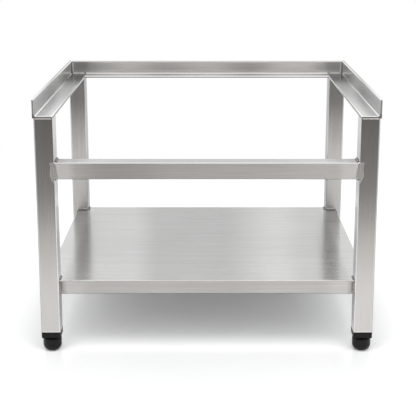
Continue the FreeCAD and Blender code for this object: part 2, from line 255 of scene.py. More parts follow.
rear_rail_painted_light = [
    ("front", "outwards", 0.25, 1.2, 0.335, 0.92),  # painted highlight going over into painted shade beside the side upstands
    ("front", "upwards", seat_height - 1 * mm, 1.0, seat_height - 3.5 * mm, 0.45),  # painted shade along the edge of the flange
    ("up", "upwards", seat_height - 1 * mm, 1.08, seat_height - 5 * mm, 1.0),  # painted highlight on the flange and rim
    ("front", "to the right", -0.25, 1.0, -0.19, 1.17),  # painted highlight from the left end on
    ("front", "to the right", -0.1, 1.0, 0.0, 0.9),  # painted shade from the middle on
    ("front", "to the right", 0.1, 1.0, 0.25, 1.16),  # painted highlight at the right end
    ("front", "upwards", upstand_top - 8 * mm, 1.0, upstand_top - 4 * mm, 1.35),  # painted highlight along the rim
    ("front", "upwards", seat_height + 15 * mm, 1.0, seat_height + 3 * mm, 1.35),  # painted highlight along the root
]
shelf_painted_light = [
    ("front", "outwards", 0.293, 1.05, 0.306, 0.7),  # painted shade on the skirt beside its welds
    ("up", "to the rear", -0.25, 0.99, -0.05, 0.92),  # painted shade behind the front edge
    ("up", "outwards", 0.29, 1.0, 0.31, 1.12),  # painted highlight along the sides
    ("up", "fanned", -0.18, 1.15, -0.11, 0.92),  # painted reflection, bright on the left
    ("up", "fanned", 0.03, 1.0, 0.165, 1.32),  # painted reflection, bright on the right
    ("up", "fanned", 0.17, 1.0, 0.235, 0.89),  # painted reflection, a little less at the right end
    ("front", "to the right", -0.12, 1.07, -0.02, 1.0),  # painted highlight on the skirt, left of the middle
    ("front", "to the right", 0.05, 1.0, 0.15, 1.08),  # and a painted highlight right of it
    ("front", "outwards", 0.24, 1.04, 0.275, 1.16),  # and a painted highlight towards its ends
]

# Studio: a pale floor in a white tent, open to a darker, warmer room in front, with a soft lamp overhead
floor_reach = 14.0
floor_drop = 0.2 * mm  # below the soles
floor_near = 0.75  # from the middle of the stand, where the floor still shows its own light
floor_far = 1.9  # where it has gone over into the white backdrop
floor_round = (0.9, 1.0, 0.0)  # how the distance from the middle counts along each axis
floor_pale = (0.84, 0.84, 0.845)
floor_paler = (0.88, 0.88, 0.88)
floor_cloud_scale = 3.0  # spots per metre
floor_gain = 1.8  # how much brighter the floor is seen than it lights, under the stand and behind it
floor_gain_front = 1.24  # and before it
floor_gain_beside = 1.52  # and to its sides
front_span = (-0.44, -0.25)  # along Y, from before the stand to under it
beside_span = (0.32, 0.37)  # away from the middle, from under the stand to its sides
floor_gloss = 0.2
gloss_roughness = 0.2
gloss_start = (-0.44, -0.32)  # along Y, where the gloss before the stand begins
gloss_finish = (-0.31, -0.27)  # and where it ends
mirror_gain = 1.3  # how much brighter reflections show the floor
mirror_span = (-0.6, 0.3)  # along Y, over which reflections come to show the backdrop too
room_reach = 2.8  # how far the floor in front of the stand's middle is followed
room_half = 0.6  # half the width of the dark opening where the floor ends at the stand
room_floor = (
    (0.00, (0.147, 0.136, 0.127)),
    (0.34, (0.215, 0.200, 0.188)),
    (0.48, (0.309, 0.290, 0.273)),
    (0.66, (0.668, 0.639, 0.610)),
    (0.80, (0.970, 0.936, 0.905)),
    (0.97, (1.00, 1.000, 1.000)),
)
room_floor_aside = (-0.3, 0.5)  # along X, over which the room's floor grows brighter
room_floor_light = (0.96, 1.03)

# The same room and tent in the air, by the parts of the direction
room_air = (0.314, 0.293, 0.271)  # what reflections show in front, just above the floor
room_upper = (0.62, 0.60, 0.578)  # and higher up
room_rise = (0.1, 0.6)
room_aside = (-0.25, 0.25)
room_light = (0.88, 1.14)
room_slant = 0.6  # how fast the room gives way to the tent sideways
tent_span = (-0.45, 0.1)
tent_white = (1, 1, 1)
ceiling_span = (0.75, 0.97)
ceiling_light = 0.75
fill_colour = (0.99, 0.995, 1.0, 1)
fill_span = (-0.7, 0.7)
fill_front = 1.15
fill_rear = 0.45
lamp_place = (0, -0.9, 2.2)
lamp_target = (0, 0, 0.3)
lamp_width = 1.8
lamp_depth = 1.5
lamp_power = 12.0

# Camera, before the middle of the stand and above it
camera_distance = 2.0493  # in front of the front legs
camera_height = 0.8886
camera_tilt = math.radians(13.26)
focal_pixels = 1034.6
frame_pixels = 416.0
centre_pixels = 206.9  # column of the stand's middle
shift_down = 0.10  # of the picture
sensor_width = 36.0


def mesh_piece(name, parts, material, body, replaced=()):
    """One object from several (points, faces, heat) surfaces, which rides on a body of the frame."""
    counts = [len(points) for points, _, _ in parts]
    offsets = np.cumsum([0] + counts[:-1])
    faces = []
    for offset, (_, part_faces, _) in zip(offsets, parts):
        for rows in part_faces:
            faces += (rows + offset).tolist()
    mesh = bpy.data.meshes.new(name)
    mesh.from_pydata(np.concatenate([points for points, _, _ in parts]).tolist(), [], faces)
    mesh.materials.append(material)
    mesh.polygons.foreach_set("use_smooth", np.full(len(mesh.polygons), True))
    heat = mesh.attributes.new("weld_heat_and_painted_shade", "FLOAT", "POINT")
    heat.data.foreach_set("value", np.concatenate([part_heat for _, _, part_heat in parts]))
    mesh.update()
    piece = bpy.data.objects.new(name, mesh)
    bpy.context.scene.collection.objects.link(piece)
    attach(piece, body)
    if replaced:
        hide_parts(*replaced)


def tube_faces(rows, columns):
    """Faces of a grid that is closed round its columns: its quads, and a polygon over each end row."""
    row = np.arange(rows - 1)[:, None] * columns
    column = np.arange(columns)[None, :]
    ahead = (column + 1) % columns
    above = row + columns
    quads = np.stack([row + column, row + ahead, above + ahead, above + column], axis=-1)
    ring = np.arange(columns)
    return [quads.reshape(-1, 4), np.stack([ring[::-1], ring + (rows - 1) * columns])]


def fan_triangles(faces):
    """Triangles of faces with equally many corners, as fans from the first corner of each."""
    first = np.repeat(faces[:, :1], faces.shape[1] - 2, axis=1)
    return np.stack([first, faces[:, 1:-1], faces[:, 2:]], axis=-1).reshape(-1, 3)


def closed_surface(points, faces, heat=None):
    """Points, faces and heat of a closed surface, with its faces turned outwards: the sum of the triple
    products of its triangles, six times the volume, is then positive. Heat is a weld's tint by point."""
    corner = points[np.concatenate([fan_triangles(rows) for rows in faces])]
    volume = np.einsum("ij,ij->", corner[:, 0], np.cross(corner[:, 1], corner[:, 2]))
    if volume < 0:
        faces = [rows[:, ::-1] for rows in faces]
    if heat is None:
        heat = np.zeros(len(points))
    return points, faces, heat


def weld_bead(start, run, face_a, face_b, reach_a, reach_b, tint, ripple=bead_ripple, crown=bead_crown,
              pitch=bead_pitch):
    """Rippled bead in the corner of two faces. Its section is face_a * cos(t)^crown + face_b * sin(t)^crown
    times the reaches, carried along the run. Each ripple swells the section by the root of a sine of the
    way along, which trails in the middle of the bead, and both ends draw in as quarter ellipses. The heat,
    a heat tint that also paints shade, is the first tint times the cube of cos(t), or the second times the
    cube of sin(t), so it is strongest where the bead runs out on the faces and paints the shade of the toes,
    but not less than the third tint, which comes and goes from ripple to ripple. It grows towards the ends
    as painted shade. With no tint the bead is polished, and its colour paints a highlight."""
    length = np.linalg.norm(run)
    count = max(int(length / pitch), 2)
    rows = max(count * bead_rows_per_ripple, bead_least_rows)
    along = np.linspace(0, 1, rows + 1)[:, None]
    turn = np.linspace(0, math.pi / 2, bead_columns)[None, :]
    phase = along * count - bead_lag * np.sin(2 * turn)
    swell = 1 - ripple + ripple * np.sqrt(np.abs(np.sin(math.pi * phase)))
    end_length = min(0.5, bead_end * max(reach_a, reach_b) / length)
    to_end = np.clip(1 - np.minimum(along, 1 - along) / end_length, 0, 1)
    draw = np.sqrt(np.clip(1 - to_end ** 2, bead_tip ** 2, 1))
    size_a = reach_a * draw * swell * np.cos(turn) ** crown
    size_b = reach_b * draw * swell * np.sin(turn) ** crown
    base = np.asarray(start) + along[..., None] * np.asarray(run)
    skin = base + size_a[..., None] * face_a + size_b[..., None] * face_b
    if tint:
        heat = np.maximum(tint[0] * np.cos(turn) ** 3, tint[1] * np.sin(turn) ** 3)
        heat = np.maximum(heat, tint[2] * (heat_mean + heat_swing * np.cos(math.pi * phase)))
        heat = np.maximum(heat, max(tint) * to_end ** 2)
    else:
        heat = np.full_like(phase, polished)
    points = np.concatenate([skin, base], axis=1)
    heat = np.concatenate([heat, np.zeros_like(along)], axis=1)
    return closed_surface(points.reshape(-1, 3), tube_faces(*points.shape[:2]), heat.ravel())


def corner_welds():
    """Dressed beads inside the rear corners of the top frame, up the upstands and along the flanges."""
    beads = []
    standing = up * (upstand_top - seat_height - toe_radius)
    lying = upstand_inner_x - leg_inner_x - toe_radius
    for side in sides:
        inwards = -side * right
        corner = np.array([side * upstand_inner_x, upstand_inner_y, seat_height])
        beads.append(weld_bead(corner, standing, front, inwards, standing_bead, standing_bead,
                               corner_heat_and_shade, dressed_ripple))
        beads.append(weld_bead(corner, inwards * lying, front, up, corner_bead, corner_bead,
                               flange_heat_and_shade, dressed_ripple))
    return beads


def leg_top_welds():
    """Beads under the top rails, along the two outer faces of each leg, polished at the front, where their
    colour paints a highlight.
    """
    beads = []
    half = leg_side / 2
    flat = half - leg_corner_radius
    for side, end in leg_places:
        outwards = side * right
        endwards = end * rear
        centre = np.array([side * (leg_inner_x + half), end * (half - leg_inner_y), leg_top])
        end_reach = angle_overhang if end < 0 else under_heel
        end_heat = None if end < 0 else leg_top_heat_and_shade
        for face, along, reach, tint in (
            (outwards, endwards, under_heel, leg_top_heat_and_shade),
            (endwards, outwards, end_reach, end_heat),
        ):
            start = centre + face * half - along * flat
            beads.append(weld_bead(start, along * 2 * flat, face, down, reach, leg_top_bead, tint))
    return beads


def front_rail_welds():
    """Beads above and below the ends of the front rail, and a polished droplet at the front of each upper
    one, whose colour paints a highlight.
    """
    beads = []
    near = leg_front_y + rail_bead_sink
    run = rear * (leg_side - 2 * rail_bead_sink)
    above = rail_bead_above + rail_bead_sink
    below = rail_bead_below + rail_bead_sink
    for side in sides:
        inwards = -side * right
        sunk_x = side * (leg_inner_x + rail_bead_sink)
        start = np.array([sunk_x, near, rail_high.z - rail_bead_sink])
        beads.append(weld_bead(start, run, inwards, up, above, above, upper_rail_heat_and_shade, coarse_ripple,
                               pitch=coarse_pitch))
        start = np.array([sunk_x, near, rail_low.z + rail_bead_sink])
        beads.append(weld_bead(start, run, inwards, down, below, below, lower_rail_heat_and_shade))
        middle = np.array([side * leg_inner_x, leg_front_y, rail_high.z])
        start = middle + (rear + down) * droplet_inset - inwards * droplet_length / 2
        beads.append(weld_bead(start, inwards * droplet_length, front, up, droplet_radius, droplet_radius,
                               None, 0.0, droplet_crown))
    return beads


def shelf_welds():
    """Beads up the ends of the four skirts, where they meet the legs."""
    beads = []
    low = shelf_low.z + shelf_fold
    rise = up * (shelf_high.z - shelf_low.z - 2 * shelf_fold)
    reach = skirt_bead + shelf_clearance
    for side, end in leg_places:
        outwards = side * right
        endwards = end * rear
        cross = np.array([side * leg_inner_x, end * shelf_high.y, low])
        flank = np.array([side * shelf_high.x, end * -leg_inner_y, low])
        beads.append(weld_bead(cross, rise, -outwards, endwards, reach, skirt_bead_out, skirt_heat_and_shade))
        beads.append(weld_bead(flank, rise, -endwards, outwards, reach, skirt_bead_out, skirt_heat_and_shade))
    return beads


def notch_welds():
    """Beads on top of the shelf, along the two inner faces of each leg, where the sheet is notched."""
    beads = []
    across = shelf_high.x - shelf_fold - leg_inner_x
    deep = shelf_high.y - shelf_fold + leg_inner_y
    inset = leg_corner_radius / 2
    for side, end in leg_places:
        outwards = side * right
        endwards = end * rear
        corner = np.array([side * leg_inner_x, end * -leg_inner_y, shelf_high.z])
        height = front_notch_bead if end < 0 else rear_notch_bead
        across_heat = notch_heat_and_shade if end < 0 else crested_notch_heat_and_shade
        for face, along, length, tint in (
            (-endwards, outwards, across, across_heat),
            (-outwards, endwards, deep, notch_heat_and_shade),
        ):
            start = corner + along * inset
            run = along * (length - inset)
            beads.append(weld_bead(start, run, face, up, height + shelf_clearance, height, tint))
    return beads


def dressed_patch(corner, across, along, out, near, far):
    """Ground-down weld: a low pillow that stands along the length of near and far. Those are the distances
    of its two sides across it, one for each step of v, and its rise falls off as (1 - u^4)(1 - v^4) to the
    rim. Its flat underside is sunk a little into what it joins."""
    u = np.linspace(-1, 1, seam_rows)[:, None]
    v = np.linspace(-1, 1, near.size)[None, :]
    spot = (near + far) / 2 + u * (far - near) / 2
    height = seam_rise * (1 - u ** 4) * (1 - v ** 4)
    step = (v + 1) / 2 * np.ones_like(u)
    plane = np.asarray(corner) + spot[..., None] * across + step[..., None] * along
    top = plane + height[..., None] * out
    bottom = plane - seam_sink * out
    index = np.arange(height.size).reshape(height.shape)
    quads = np.stack([index[:-1, :-1], index[1:, :-1], index[1:, 1:], index[:-1, 1:]], axis=-1)
    quads = quads.reshape(-1, 4)
    rim = np.concatenate([index[0, :-1], index[:-1, -1], index[-1, :0:-1], index[:0:-1, 0]])
    ahead = np.roll(rim, -1)
    walls = np.stack([rim, ahead, ahead + index.size, rim + index.size], axis=-1)
    points = np.concatenate([top.reshape(-1, 3), bottom.reshape(-1, 3)])
    return closed_surface(points, [quads, quads[:, ::-1] + index.size, walls])


def hollow_seam(side, face_y, inward):
    """Filler beside the rounded corner of a leg: its section is the square of the radius less a quarter
    circle, carried up the height of the front rail."""
    angle = np.linspace(0, math.pi / 2, hollow_columns)
    x = side * (leg_inner_x + np.concatenate([[0.0], leg_corner_radius * (1 - np.sin(angle))]))
    y = face_y + inward * np.concatenate([[0.0], leg_corner_radius * (1 - np.cos(angle))])
    level = np.array([rail_low.z + rail_corner_radius, rail_high.z - rail_corner_radius])
    points = np.stack(np.broadcast_arrays(x[None, :], y[None, :], level[:, None]), axis=-1)
    return closed_surface(points.reshape(-1, 3), tube_faces(*points.shape[:2]))


def front_rail_seams():
    """Seams ground flush with the front and the rear of the front rail. On the leg the ground patch widens
    from a point below the rail as a quarter sine, slightly waved, and on the rail it widens downwards."""
    seams = []
    v = np.linspace(0, 1, seam_columns)
    widening = np.sin(math.pi / 2 * np.clip(v / seam_widening, seam_point, 1)) ** seam_fullness
    on_leg = seam_start + (seam_on_leg - seam_start) * widening
    on_leg = on_leg - seam_wave * (v + np.sin(seam_wave_turn * v))
    on_rail = -seam_on_rail_low + (seam_on_rail_low - seam_on_rail_high) * v
    start = np.full_like(v, seam_start)
    leg_low_z = rail_low.z - seam_below_rail
    leg_rise = up * (rail_high.z - leg_low_z)
    rail_low_z = rail_low.z + rail_corner_radius
    rail_rise = up * (rail_high.z - rail_corner_radius - rail_low_z)
    for side in sides:
        outwards = side * right
        for face_y, out in ((leg_front_y, front), (leg_inner_y, rear)):
            seams.append(hollow_seam(side, face_y, -out[1]))
            foot = (side * leg_inner_x, face_y, leg_low_z)
            seams.append(dressed_patch(foot, outwards, leg_rise, out, start, on_leg))
            foot = (side * leg_inner_x, face_y, rail_low_z)
            seams.append(dressed_patch(foot, outwards, rail_rise, out, on_rail, start))
    return seams


def screw_surface(low, high):
    """Levelling screw about its own centre line: the radius is that of the rod less a thread groove, which
    is a flattened triangle wave of height over pitch less turn. Between pin and thread it steps out to a
    hexagon, whose radius is the half width over the cosine of the angle from the nearest flat."""
    centre = (low + high) / 2
    rod = spindle_diameter / 2
    angle = np.linspace(0, 2 * math.pi, thread_columns, endpoint=False)[None, :]
    from_flat = (angle % (math.pi / 3)) - math.pi / 6
    hexagon = collar_flats / 2 / np.cos(from_flat)
    pin = np.array([0.0, spindle_chamfer, collar_low - low.z])
    pin_radius = np.array([rod - spindle_chamfer, rod, rod])
    collar = collar_low - low.z + np.array([0.0, collar_bevel, collar_height - collar_bevel, collar_height])
    collar_scale = np.array([collar_end_scale, 1.0, 1.0, collar_end_scale])
    turns = (high.z - collar_low - collar_height) / thread_pitch
    thread = np.linspace(collar[-1], high.z - low.z, int(turns * thread_rows_per_turn))
    wave = np.abs(2 * ((thread[:, None] / thread_pitch - angle / (2 * math.pi)) % 1.0) - 1)
    groove = thread_depth * np.clip(thread_slope * wave - thread_crest, 0, 1)
    run_in = np.clip((thread[:, None] - collar[-1]) / thread_pitch, 0, 1)
    to_top = high.z - low.z - thread[:, None]
    limit = rod - np.clip(spindle_chamfer - to_top, 0, None)
    thread_radius = np.minimum(rod - groove * run_in, limit)
    radius = np.concatenate([
        pin_radius[:, None] * np.ones_like(angle),
        collar_scale[:, None] * hexagon,
        thread_radius,
    ])
    level = low.z + np.concatenate([pin, collar, thread])[:, None] * np.ones_like(angle)
    x = centre.x + radius * np.cos(angle)
    y = centre.y + radius * np.sin(angle)
    points = np.stack([x, y, level], axis=-1)
    return closed_surface(points.reshape(-1, 3), tube_faces(*points.shape[:2]))


def put(tree, kind, inputs=None, **settings):
    """One shader node. inputs are its sockets by name or number, as values or as links."""
    made = tree.nodes.new("ShaderNode" + kind)
    for key, value in settings.items():
        setattr(made, key, value)
    for key, value in (inputs or {}).items():
        if isinstance(value, bpy.types.NodeSocket):
            tree.links.new(value, made.inputs[key])
        else:
            made.inputs[key].default_value = value
    return made


def new_material(name):
    """Empty node material with its output and the object's own coordinates."""
    material = bpy.data.materials.new(name)
    material.use_nodes = True
    tree = material.node_tree
    tree.nodes.clear()
    output = put(tree, "OutputMaterial")
    place = put(tree, "TexCoord").outputs["Object"]
    return material, tree, output, place


def part(tree, vector, axis):
    """One of the three parts of a vector."""
    return put(tree, "SeparateXYZ", {"Vector": vector}).outputs[axis]


def combine(tree, operation, first, second=0.0):
    """One arithmetic step on one or two values."""
    return put(tree, "Math", {0: first, 1: second}, operation=operation).outputs["Value"]


def ramp(tree, value, span, low, high, course="SMOOTHSTEP"):
    """A value carried from one span to a new range, smoothly if not told otherwise, and held at the ends."""
    inputs = {"Value": value, "From Min": span[0], "From Max": span[1], "To Min": low, "To Max": high}
    return put(tree, "MapRange", inputs, interpolation_type=course).outputs["Result"]


def spread(tree, value, low, high, span=noise_span):
    """A noise or another value spread evenly over a new range."""
    return ramp(tree, value, span, low, high, "LINEAR")


def noise(tree, place, scale, detail, roughness=0.5):
    """Cloudy noise."""
    inputs = {"Vector": place, "Scale": scale, "Detail": detail, "Roughness": roughness}
    return put(tree, "TexNoise", inputs).outputs["Fac"]


def stretched_noise(tree, place, scale, detail):
    """Noise drawn out by a different scale along each axis."""
    mapped = put(tree, "Mapping", {"Vector": place, "Scale": scale}).outputs["Vector"]
    return noise(tree, mapped, 1.0, detail)


def mix_colours(tree, factor, first, second):
    """A colour between two, which are written out or links."""
    inputs = {"Factor": factor}
    for socket, colour in ((6, first), (7, second)):
        inputs[socket] = colour if isinstance(colour, bpy.types.NodeSocket) else (*colour, 1)
    return put(tree, "Mix", inputs, data_type="RGBA").outputs[2]


def scaled(tree, colour, factor):
    """A colour made brighter or darker."""
    return put(tree, "VectorMath", {0: colour, "Scale": factor}, operation="SCALE").outputs["Vector"]


def bumps(tree, height, strength, depth):
    """The normal over a fine relief."""
    inputs = {"Strength": strength, "Distance": depth, "Height": height}
    return put(tree, "Bump", inputs).outputs["Normal"]


def look_outwards(tree, place, normal):
    """How far a face looks sideways, away from the middle of the stand."""
    side = combine(tree, "SIGN", part(tree, place, "X"))
    return combine(tree, "MULTIPLY", part(tree, normal, "X"), side)


def painted_light_step(tree, place, normal, facing, way, start, start_tone, finish, finish_tone):
    """Painted light and shade: a tone that goes from one value to another, on the faces that look up, to the
    sides, to the front and rear, or inwards to the middle, and is 1 on the others. It goes upwards, to the
    rear, to the right, outwards on both sides of the middle, or to the right along lines that fan out
    towards the rear."""
    along = part(tree, place, {"upwards": "Z", "to the rear": "Y"}.get(way, "X"))
    if way == "outwards":
        along = combine(tree, "ABSOLUTE", along)
    if way == "fanned":
        narrowed = combine(tree, "MULTIPLY", part(tree, place, "Y"), reflection_fan)
        along = combine(tree, "MULTIPLY", along, combine(tree, "SUBTRACT", 1.0, narrowed))
    tone = ramp(tree, along, (start, finish), start_tone, finish_tone)
    if facing == "up":
        look = part(tree, normal, "Z")
    elif facing == "inner":
        look = combine(tree, "MULTIPLY", look_outwards(tree, place, normal), -1.0)
    else:
        look = combine(tree, "ABSOLUTE", part(tree, normal, {"side": "X", "front": "Y"}[facing]))
    return ramp(tree, look, facing_span, 1.0, tone)


def steel_streaks(tree, place, normal, grain, across, fold):
    """Fine and broad streaks along the grain, which turn down with the sides of a folded sheet."""
    def along_grain(axes):
        """Both kinds, drawn out along one axis."""
        fine_scale = [fine_along if axis else fine_across for axis in axes]
        broad_scale = [broad_along if axis else across for axis in axes]
        return [stretched_noise(tree, place, scale, 1.0) for scale in (fine_scale, broad_scale)]

    fine, broad = along_grain(grain)
    if fold:
        sideways = combine(tree, "ABSOLUTE", part(tree, normal, "X"))
        turned = combine(tree, "GREATER_THAN", sideways, fold_turn)
        folded_fine, folded_broad = along_grain((0, 0, 1))
        fine = put(tree, "Mix", {"Factor": turned, 2: fine, 3: folded_fine}).outputs[0]
        broad = put(tree, "Mix", {"Factor": turned, 2: broad, 3: folded_broad}).outputs[0]
    return fine, broad


def face_flatness(tree, normal):
    """The largest part of the normal: 1 on flat faces and less on rounded edges."""
    size = put(tree, "VectorMath", {0: normal}, operation="ABSOLUTE").outputs["Vector"]
    largest = combine(tree, "MAXIMUM", part(tree, size, "X"), part(tree, size, "Y"))
    return combine(tree, "MAXIMUM", largest, part(tree, size, "Z"))


def painted_edge_light(tree, place, normal, flatness):
    """Painted light on rounded edges: a painted highlight above, painted shade below and on outer upright
    ones, and 1 on flat faces.
    """
    height = part(tree, normal, "Z")
    tone = spread(tree, height, lower_edge_shade, edge_highlight, looks_down)
    tone = combine(tree, "MULTIPLY", tone, spread(tree, height, 1.0, upper_edge_highlight, looks_up))
    tone = ramp(tree, look_outwards(tree, place, normal), looks_outwards, tone, outer_edge_shade)
    return ramp(tree, flatness, edge_span, tone, 1.0)


def painted_highlight_bands(tree, place):
    """Broad bands of painted highlight and shade: a cosine of the way to the right."""
    wave = combine(tree, "MULTIPLY", part(tree, place, "X"), 2 * math.pi / painted_band_width)
    wave = combine(tree, "COSINE", wave)
    return spread(tree, wave, 1 - painted_band_depth / 2, 1 + painted_band_depth / 2, (-1.0, 1.0))


def ground_ends(tree, place, normal, grain):
    """1 on the ground ends of a rail, above the height where the grinding starts, and 0 elsewhere."""
    end = combine(tree, "ABSOLUTE", part(tree, normal, "XYZ"[grain.index(1)]))
    end = ramp(tree, end, end_span, 0.0, 1.0)
    above = (ground_start, ground_start + ground_blend)
    return combine(tree, "MULTIPLY", end, ramp(tree, part(tree, place, "Z"), above, 0.0, 1.0))


def brushed_steel(name, grain, roughness=0.25, brushing=0.9, fold=False, upright_rough=0.0, under_tone=1.0,
                  painted_light_steps=(), streaks=1.0, lines=0.02, across=broad_across, painted_bands=False, ground=False):
    """Satin stainless steel. Fine and broad streaks run along the grain, and gloss spreads across it.
    Rounded edges are smoother and carry painted highlights and shade. On a folded sheet the grain turns down
    with the sides. Upright faces can be rougher and faces below darker, and the steps given paint light and
    shade on a piece. It can have broad bands of painted highlight and shade, and ends that are ground matt."""
    material, tree, output, place = new_material(name)
    normal = put(tree, "NewGeometry").outputs["Normal"]
    height = part(tree, normal, "Z")
    flatness = face_flatness(tree, normal)
    fine, broad = steel_streaks(tree, place, normal, grain, across, fold)
    weak = 0.5 - streaks / 2
    shade = spread(tree, combine(tree, "ADD", fine, broad), weak, 1 - weak, streak_span)
    colour = mix_colours(tree, shade, steel_dark, steel_light)
    tone = painted_edge_light(tree, place, normal, flatness)
    tone = combine(tree, "MULTIPLY", tone, spread(tree, height, under_tone, 1.0, underside_span))
    for step in painted_light_steps:
        tone = combine(tree, "MULTIPLY", tone, painted_light_step(tree, place, normal, *step))
    if painted_bands:
        tone = combine(tree, "MULTIPLY", tone, painted_highlight_bands(tree, place))
    rough = spread(tree, broad, roughness - streak_rough, roughness + streak_rough)
    rough = combine(tree, "ADD", rough, spread(tree, noise(tree, place, cloud_scale, 3.0), *cloud_rough))
    if upright_rough:
        rough = combine(tree, "ADD", rough, spread(tree, height, 0.0, upright_rough, upright_span))
    rough = ramp(tree, flatness, edge_span, edge_roughness, rough)
    if ground:
        ends = ground_ends(tree, place, normal, grain)
        tone = combine(tree, "MULTIPLY", tone, ramp(tree, ends, (0.0, 1.0), 1.0, ground_tone))
        rough = ramp(tree, ends, (0.0, 1.0), rough, ground_roughness)
    axis = Vector(grain) + Vector(grain_skew)
    crosswise = put(tree, "VectorMath", {0: normal, 1: axis}, operation="CROSS_PRODUCT").outputs["Vector"]
    shader = put(tree, "BsdfPrincipled", {
        "Base Color": scaled(tree, colour, tone),
        "Metallic": 1.0,
        "Roughness": rough,
        "Anisotropic": brushing,
        "Tangent": crosswise,
        "Normal": bumps(tree, fine, lines, line_depth),
    })
    tree.links.new(shader.outputs["BSDF"], output.inputs["Surface"])
    return material


def weld_metal(name):
    """Bare weld metal with a fine uneven skin. It is dark brown where the heat tint of the weld shows, which
    also paints shade at the toes and ends of the beads, and near white on polished beads, a painted
    highlight.
    """
    material, tree, output, place = new_material(name)
    heat = put(tree, "Attribute", attribute_name="weld_heat_and_painted_shade").outputs["Fac"]
    skin = noise(tree, place, weld_skin_scale, 3.0)
    patch = noise(tree, place, weld_patch_scale, 2.0)
    colour = mix_colours(tree, spread(tree, patch, 0.0, 1.0), weld_dull, weld_bright)
    colour = mix_colours(tree, ramp(tree, heat, (0.0, polished), 0.0, 1.0), colour, weld_polished_highlight)
    shader = put(tree, "BsdfPrincipled", {
        "Base Color": mix_colours(tree, heat, colour, heat_tint_and_painted_shade),
        "Metallic": 1.0,
        "Roughness": spread(tree, skin, *weld_rough),
        "Normal": bumps(tree, skin, weld_relief, skin_depth),
    })
    tree.links.new(shader.outputs["BSDF"], output.inputs["Surface"])
    return material


def black_plastic(name):
    """Moulded black plastic with a fine spark-eroded skin, a little paler where it is scuffed."""
    material, tree, output, place = new_material(name)
    skin = noise(tree, place, plastic_skin_scale, 2.0)
    scuff = noise(tree, place, plastic_scuff_scale, 5.0, 0.7)
    scuffed = spread(tree, scuff, 0.0, 1.0, plastic_scuff_span)
    shader = put(tree, "BsdfPrincipled", {
        "Base Color": mix_colours(tree, scuffed, plastic_dark, plastic_scuffed),
        "Roughness": spread(tree, scuff, *plastic_rough),
        "Specular IOR Level": plastic_gloss,
        "Normal": bumps(tree, skin, plastic_relief, skin_depth),
    })
    tree.links.new(shader.outputs["BSDF"], output.inputs["Surface"])
    return material


def plated_steel(name):
    """Bright zinc plating over turned steel, with a faint blue and straw cast."""
    material, tree, output, place = new_material(name)
    rings = stretched_noise(tree, place, zinc_ring_scale, 2.0)
    cast = noise(tree, place, zinc_cast_scale, 2.0)
    shader = put(tree, "BsdfPrincipled", {
        "Base Color": mix_colours(tree, spread(tree, cast, 0.0, 1.0), zinc_blue, zinc_straw),
        "Metallic": 1.0,
        "Roughness": spread(tree, rings, *zinc_rough),
    })
    tree.links.new(shader.outputs["BSDF"], output.inputs["Surface"])
    return material


def set_material(node_name, material):
    """Gives a node of the frame its finish."""
    slots = nodes[node_name].data.materials
    slots.clear()
    slots.append(material)


def colour_stops(tree, value, stops):
    """A colour that passes through several stops."""
    node = put(tree, "ValToRGB", {"Fac": value})
    node.color_ramp.interpolation = "EASE"
    elements = node.color_ramp.elements
    while len(elements) < len(stops):
        elements.new(0.5)
    for element, (position, colour) in zip(elements, stops):
        element.position = position
        element.color = (*colour, 1)
    return node.outputs["Color"]


